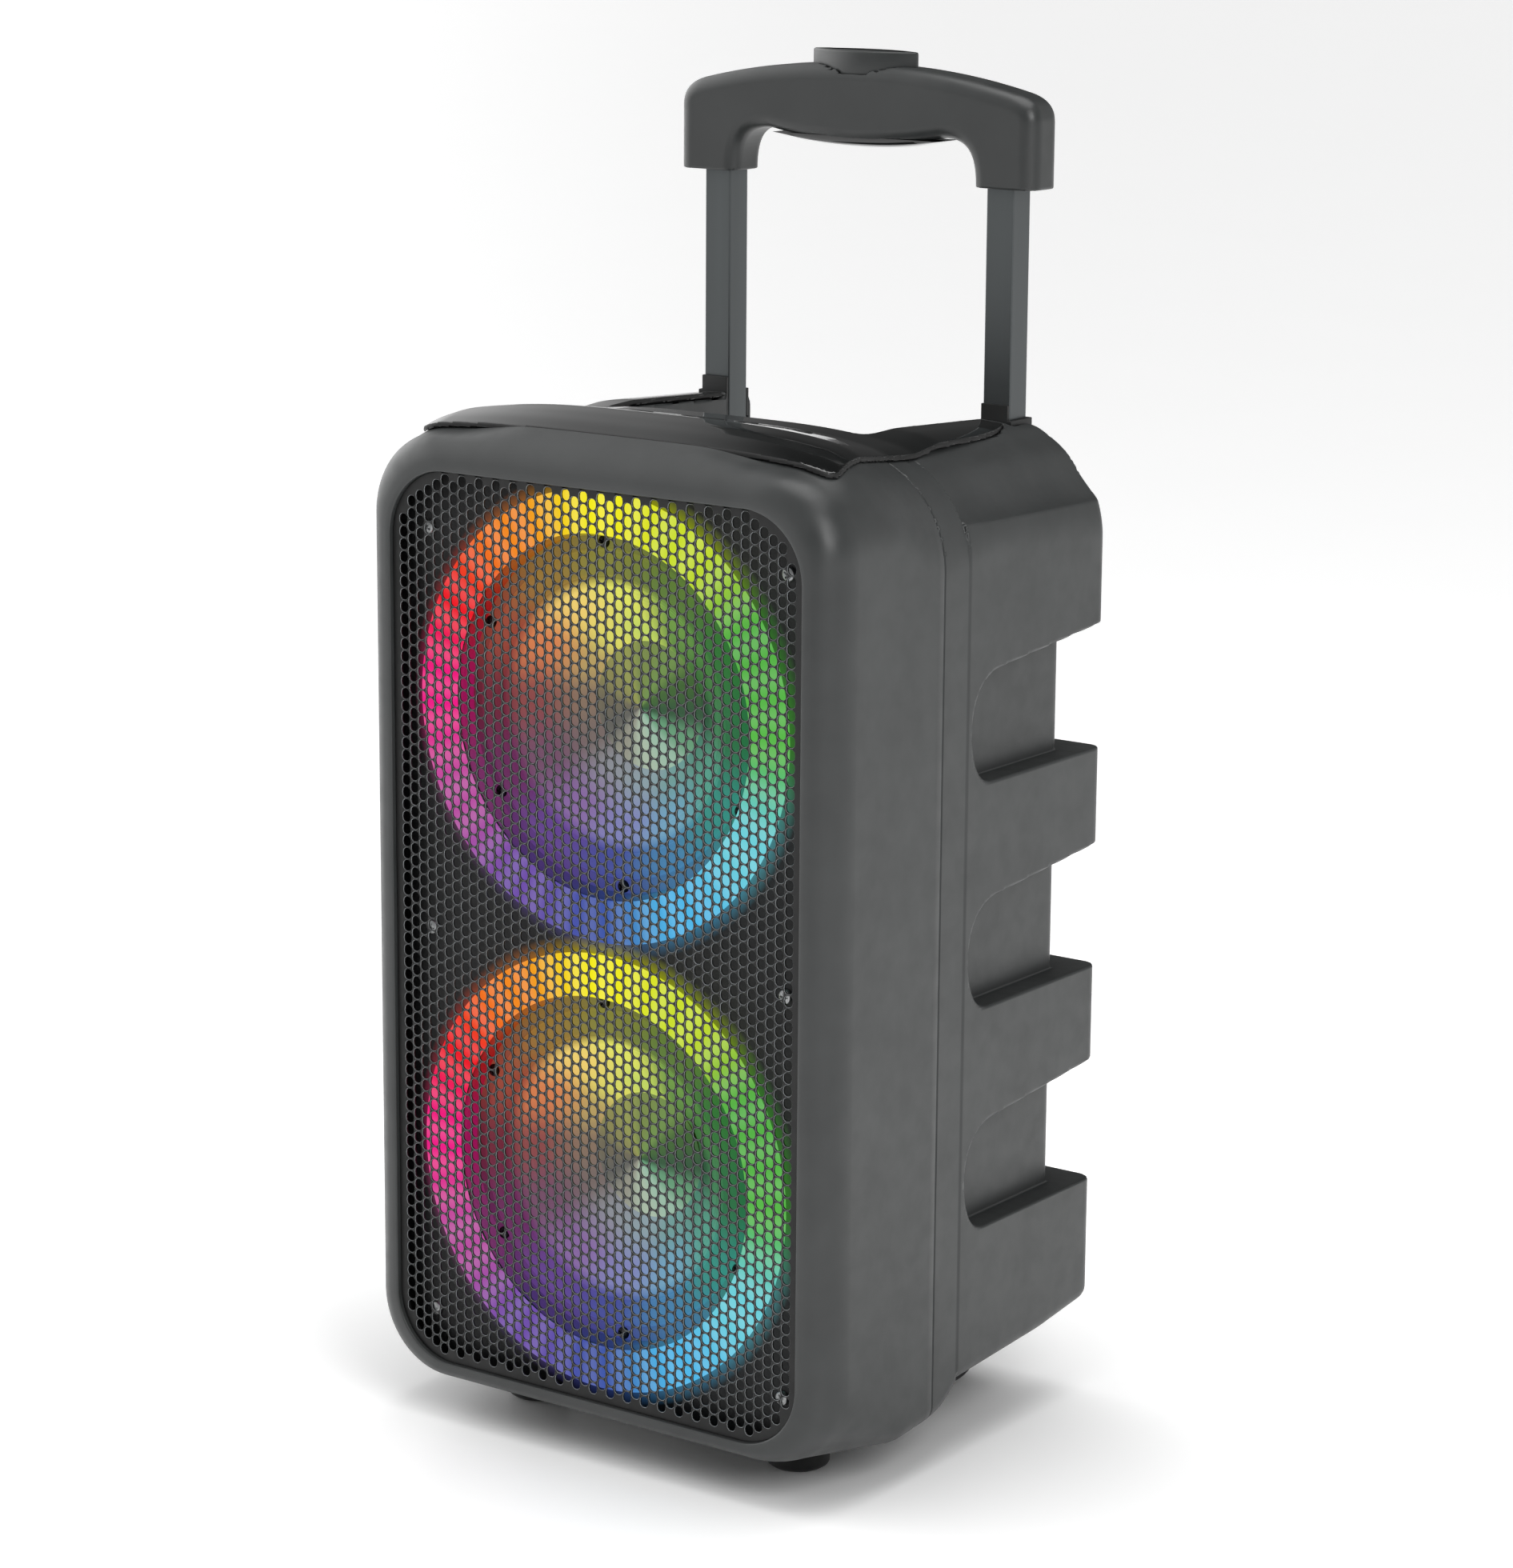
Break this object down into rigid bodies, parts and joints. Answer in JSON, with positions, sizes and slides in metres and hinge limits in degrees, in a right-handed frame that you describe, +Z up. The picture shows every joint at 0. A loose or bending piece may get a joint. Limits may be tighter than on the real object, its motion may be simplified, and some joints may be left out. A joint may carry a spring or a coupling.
{
  "type": "party speaker",
  "caption": "Tall portable party speaker with two light-ringed woofers behind a perforated grille, a pull-out trolley handle and rear wheels.",
  "frame": {"origin": "on the floor, under the middle of the cabinet", "axes": "+Z up, -Y out of the grille towards the listener, +X to the right seen from the front"},
  "size_m": [0.32, 0.272, 0.7735],
  "materials": {
    "shell": "satin moulded ABS, fine texture",
    "gloss_black": "piano gloss",
    "handle_plastic": "satin moulded ABS",
    "post_metal": "satin dark grey paint",
    "grille_metal": "black powder coat, perforated sheet",
    "black_plastic": "matt",
    "rubber": "matt",
    "steel": "zinc plated",
    "cone_paper": "pressed fibre, matt",
    "cap": "satin",
    "spider_cloth": "resin-treated cloth",
    "copper": "enamelled copper winding",
    "ferrite": "sintered, matt",
    "board_black": "black-faced fibreboard",
    "diffuser": "translucent white light diffuser",
    "circuit": "solder mask",
    "battery": "shrink wrap"
  },
  "bodies": {
    "cabinet": {"front_bezel": "shell", "rear_shell": "shell", "top_panel": "gloss_black", "control_board": "circuit", "grille": "grille_metal", "baffle": "board_black", "rear_plate": "gloss_black", "microphone_jack": "black_plastic", "audio_jack": "black_plastic", "usb_socket": "steel", "power_inlet": "black_plastic", "amplifier_board": "circuit", "heat_sink": "steel", "battery_tray": "black_plastic", "battery_pack": "battery", "upper_light_ring": "diffuser", "upper_light_board": "circuit", "upper_basket": "steel", "upper_magnet": "ferrite", "upper_surround": "rubber", "upper_spider": "spider_cloth", "lower_light_ring": "diffuser", "lower_light_board": "circuit", "lower_basket": "steel", "lower_magnet": "ferrite", "lower_surround": "rubber", "lower_spider": "spider_cloth", "left_rail": "steel", "left_collar": "black_plastic", "left_foot": "rubber", "left_axle": "steel", "left_fork": "black_plastic", "right_rail": "steel", "right_collar": "black_plastic", "right_foot": "rubber", "right_axle": "steel", "right_fork": "black_plastic"},
    "handle": {"left_post": "post_metal", "right_post": "post_metal", "grip": "handle_plastic", "grip_pad": "rubber"},
    "release": {"release_button": "handle_plastic", "release_yoke": "black_plastic"},
    "left_latch": {"left_latch_pin": "steel"},
    "right_latch": {"right_latch_pin": "steel"},
    "upper_driver": {"upper_cone": "cone_paper", "upper_dust_cap": "cap", "upper_voice_coil": "copper"},
    "lower_driver": {"lower_cone": "cone_paper", "lower_dust_cap": "cap", "lower_voice_coil": "copper"},
    "left_wheel": {"left_wheel": "rubber"},
    "right_wheel": {"right_wheel": "rubber"},
    "microphone_knob": {"microphone_knob": "black_plastic"},
    "echo_knob": {"echo_knob": "black_plastic"},
    "top_button_1": {"top_button_1": "black_plastic"},
    "top_button_2": {"top_button_2": "black_plastic"},
    "top_button_3": {"top_button_3": "black_plastic"},
    "top_button_4": {"top_button_4": "black_plastic"},
    "top_button_5": {"top_button_5": "black_plastic"}
  },
  "joints": [
    {"name": "handle_slide", "type": "slide", "parent": "cabinet", "child": "handle", "axis": [0, 0, 1], "range_m": [-0.12, 0]},
    {"name": "release_press", "type": "slide", "parent": "handle", "child": "release", "axis": [0, 0, -1], "range_m": [0, 0.004], "stiffness_N_per_m": 500, "springref_m": -0.003},
    {"name": "left_latch_slide", "type": "slide", "parent": "handle", "child": "left_latch", "axis": [1, 0, 0], "range_m": [0, 0.004]},
    {"name": "right_latch_slide", "type": "slide", "parent": "handle", "child": "right_latch", "axis": [-1, 0, 0], "range_m": [0, 0.004]},
    {"name": "upper_driver_stroke", "type": "slide", "parent": "cabinet", "child": "upper_driver", "axis": [0, -1, 0], "range_m": [-0.004, 0.004], "stiffness_N_per_m": 2000},
    {"name": "lower_driver_stroke", "type": "slide", "parent": "cabinet", "child": "lower_driver", "axis": [0, -1, 0], "range_m": [-0.004, 0.004], "stiffness_N_per_m": 2000},
    {"name": "left_wheel_spin", "type": "hinge", "parent": "cabinet", "child": "left_wheel", "pos_m": [-0.084, 0.097, 0.028], "axis": [1, 0, 0], "continuous": true},
    {"name": "right_wheel_spin", "type": "hinge", "parent": "cabinet", "child": "right_wheel", "pos_m": [0.084, 0.097, 0.028], "axis": [1, 0, 0], "continuous": true},
    {"name": "microphone_knob_turn", "type": "hinge", "parent": "cabinet", "child": "microphone_knob", "pos_m": [-0.03, 0.125, 0.422], "axis": [0, -1, 0], "range_deg": [-135, 135]},
    {"name": "echo_knob_turn", "type": "hinge", "parent": "cabinet", "child": "echo_knob", "pos_m": [0.006, 0.125, 0.422], "axis": [0, -1, 0], "range_deg": [-135, 135]},
    {"name": "top_button_1_press", "type": "slide", "parent": "cabinet", "child": "top_button_1", "axis": [0, -0.165, -0.9863], "range_m": [0, 0.0008], "stiffness_N_per_m": 1000, "springref_m": -0.0008},
    {"name": "top_button_2_press", "type": "slide", "parent": "cabinet", "child": "top_button_2", "axis": [0, -0.165, -0.9863], "range_m": [0, 0.0008], "stiffness_N_per_m": 1000, "springref_m": -0.0008},
    {"name": "top_button_3_press", "type": "slide", "parent": "cabinet", "child": "top_button_3", "axis": [0, -0.165, -0.9863], "range_m": [0, 0.0008], "stiffness_N_per_m": 1000, "springref_m": -0.0008},
    {"name": "top_button_4_press", "type": "slide", "parent": "cabinet", "child": "top_button_4", "axis": [0, -0.165, -0.9863], "range_m": [0, 0.0008], "stiffness_N_per_m": 1000, "springref_m": -0.0008},
    {"name": "top_button_5_press", "type": "slide", "parent": "cabinet", "child": "top_button_5", "axis": [0, -0.165, -0.9863], "range_m": [0, 0.0008], "stiffness_N_per_m": 1000, "springref_m": -0.0008}
  ],
  "couplings": [
    {"joint": "left_latch_slide", "follows": "release_press", "ratio": 1},
    {"joint": "right_latch_slide", "follows": "release_press", "ratio": 1}
  ]
}
